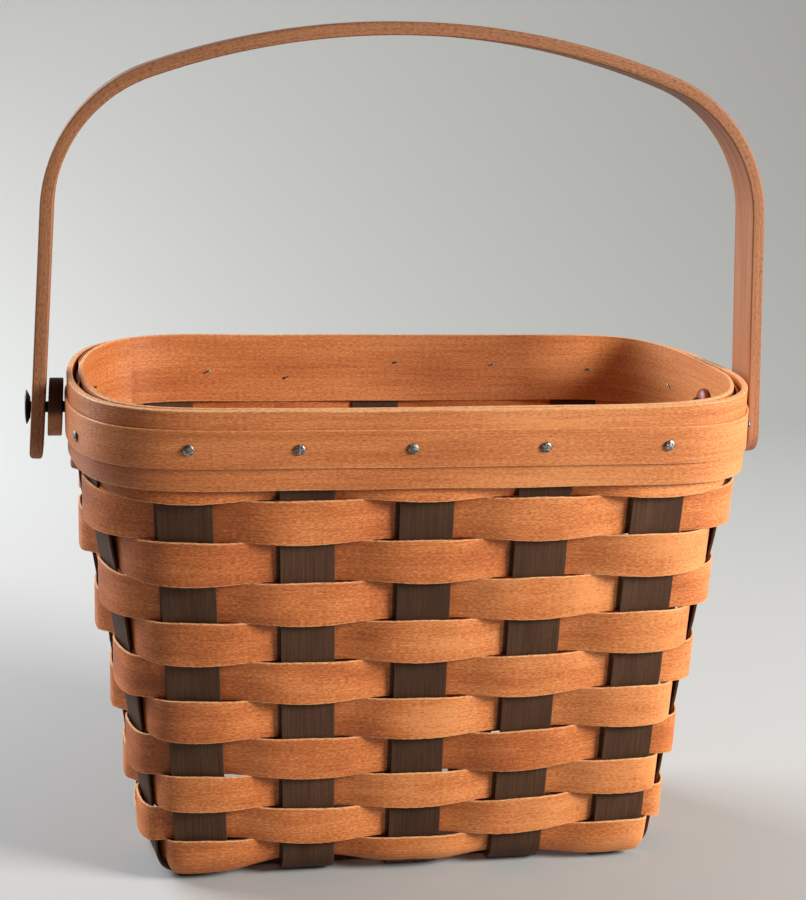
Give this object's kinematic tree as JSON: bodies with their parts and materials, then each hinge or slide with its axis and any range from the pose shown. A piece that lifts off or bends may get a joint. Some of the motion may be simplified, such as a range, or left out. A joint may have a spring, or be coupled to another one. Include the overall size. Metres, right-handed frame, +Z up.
{
  "type": "splint basket",
  "caption": "Rectangular plain-woven splint basket with clamped rim bands and a bent wooden handle that swings on end pivots.",
  "frame": {"origin": "middle of the basket's base, on the surface that the basket stands on", "axes": "+Z up, +X along the basket's long side and along the handle's pivot line, +Y from the front wall to the back wall"},
  "size_m": [0.3698, 0.1782, 0.4109],
  "materials": {
    "weaver_splint": "satin",
    "upright_splint": "satin",
    "rim_hardwood": "satin",
    "handle_hardwood": "satin",
    "spacer_hardwood": "satin",
    "cap_red_wood": "gloss",
    "tack_steel": "satin",
    "pin_metal": "satin"
  },
  "bodies": {
    "basket": {"long_upright_1": "upright_splint", "long_upright_2": "upright_splint", "long_upright_3": "upright_splint", "long_upright_4": "upright_splint", "long_upright_5": "upright_splint", "cross_upright_1": "upright_splint", "cross_upright_2": "upright_splint", "cross_upright_3": "upright_splint", "weaver_row_01": "weaver_splint", "weaver_row_02": "weaver_splint", "weaver_row_03": "weaver_splint", "weaver_row_04": "weaver_splint", "weaver_row_05": "weaver_splint", "weaver_row_06": "weaver_splint", "weaver_row_07": "weaver_splint", "weaver_row_08": "weaver_splint", "weaver_row_09": "weaver_splint", "weaver_row_10": "weaver_splint", "weaver_row_11": "weaver_splint", "weaver_row_12": "weaver_splint", "rim_inner_band": "rim_hardwood", "rim_outer_band": "rim_hardwood", "rim_trim_strip": "rim_hardwood", "tack_front_1": "tack_steel", "tack_front_2": "tack_steel", "tack_front_3": "tack_steel", "tack_front_4": "tack_steel", "tack_front_5": "tack_steel", "tack_back_1": "tack_steel", "tack_back_2": "tack_steel", "tack_back_3": "tack_steel", "tack_back_4": "tack_steel", "tack_back_5": "tack_steel", "tack_left_1": "tack_steel", "tack_left_2": "tack_steel", "tack_right_1": "tack_steel", "tack_right_2": "tack_steel", "pivot_pin_left": "pin_metal", "pivot_pin_right": "pin_metal", "pivot_spacer_left": "spacer_hardwood", "pivot_spacer_right": "spacer_hardwood", "pivot_cap_left": "cap_red_wood", "pivot_cap_right": "cap_red_wood"},
    "swing_handle": {"handle": "handle_hardwood"}
  },
  "joints": [
    {"name": "handle_swing", "type": "hinge", "parent": "basket", "child": "swing_handle", "pos_m": [0, 0, 0.2258], "axis": [1, 0, 0], "range_deg": [-150, 150]}
  ]
}
